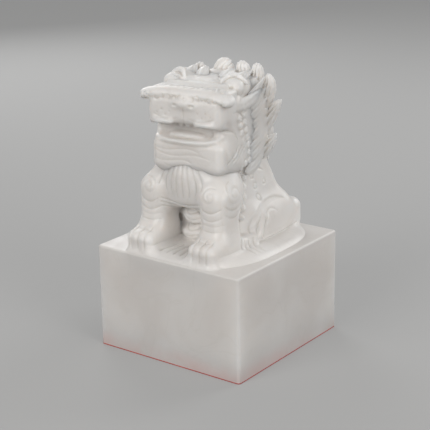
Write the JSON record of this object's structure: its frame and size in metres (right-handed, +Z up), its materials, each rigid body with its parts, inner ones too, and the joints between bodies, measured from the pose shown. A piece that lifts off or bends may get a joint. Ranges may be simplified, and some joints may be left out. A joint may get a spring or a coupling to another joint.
{
  "type": "seal stamp",
  "caption": "Square carved-stone hand seal: a block with a raised printing face below, and a seated guardian lion carved on top as its grip.",
  "frame": {"origin": "middle of the printing face, at the bottom of the seal", "axes": "+Z up from the printing face through the lion's head, -Y the way the lion looks, +X the lion's left"},
  "size_m": [0.06, 0.06, 0.1001],
  "materials": {
    "white_stone": "polished, slightly translucent",
    "seal_paste": "thin oily film"
  },
  "bodies": {
    "root": {"beard_left": "white_stone", "beard_right": "white_stone", "belly": "white_stone", "brow_roll": "white_stone", "carved_ground": "white_stone", "cheek_curls_left": "white_stone", "cheek_curls_right": "white_stone", "chest": "white_stone", "chest_bib": "white_stone", "crown": "white_stone", "ear_left": "white_stone", "ear_right": "white_stone", "elbow_curls_left": "white_stone", "elbow_curls_right": "white_stone", "eye_left": "white_stone", "eye_right": "white_stone", "eyebrow_left": "white_stone", "eyebrow_right": "white_stone", "face_relief": "white_stone", "foreleg_left": "white_stone", "foreleg_right": "white_stone", "forelock_left": "white_stone", "forelock_right": "white_stone", "forepaw_left": "white_stone", "forepaw_right": "white_stone", "haunch_left": "white_stone", "haunch_right": "white_stone", "hind_paw_left": "white_stone", "hind_paw_right": "white_stone", "lower_jaw": "white_stone", "mane_back": "white_stone", "mane_crest": "white_stone", "mane_lock_1_left": "white_stone", "mane_lock_1_right": "white_stone", "mane_lock_2_left": "white_stone", "mane_lock_2_right": "white_stone", "mane_lock_3_left": "white_stone", "mane_lock_3_right": "white_stone", "mane_lock_4_left": "white_stone", "mane_lock_4_right": "white_stone", "mane_lock_5_left": "white_stone", "mane_lock_5_right": "white_stone", "mane_side_left": "white_stone", "mane_side_right": "white_stone", "muzzle": "white_stone", "neck": "white_stone", "nose": "white_stone", "paste_film": "seal_paste", "seal_block": "white_stone", "shoulder_left": "white_stone", "shoulder_right": "white_stone", "skull": "white_stone", "spine_knobs": "white_stone", "tail_curl_left": "white_stone", "tail_curl_right": "white_stone", "tail_plume": "white_stone", "teeth_and_tongue": "white_stone", "trunk": "white_stone"}
  },
  "joints": []
}
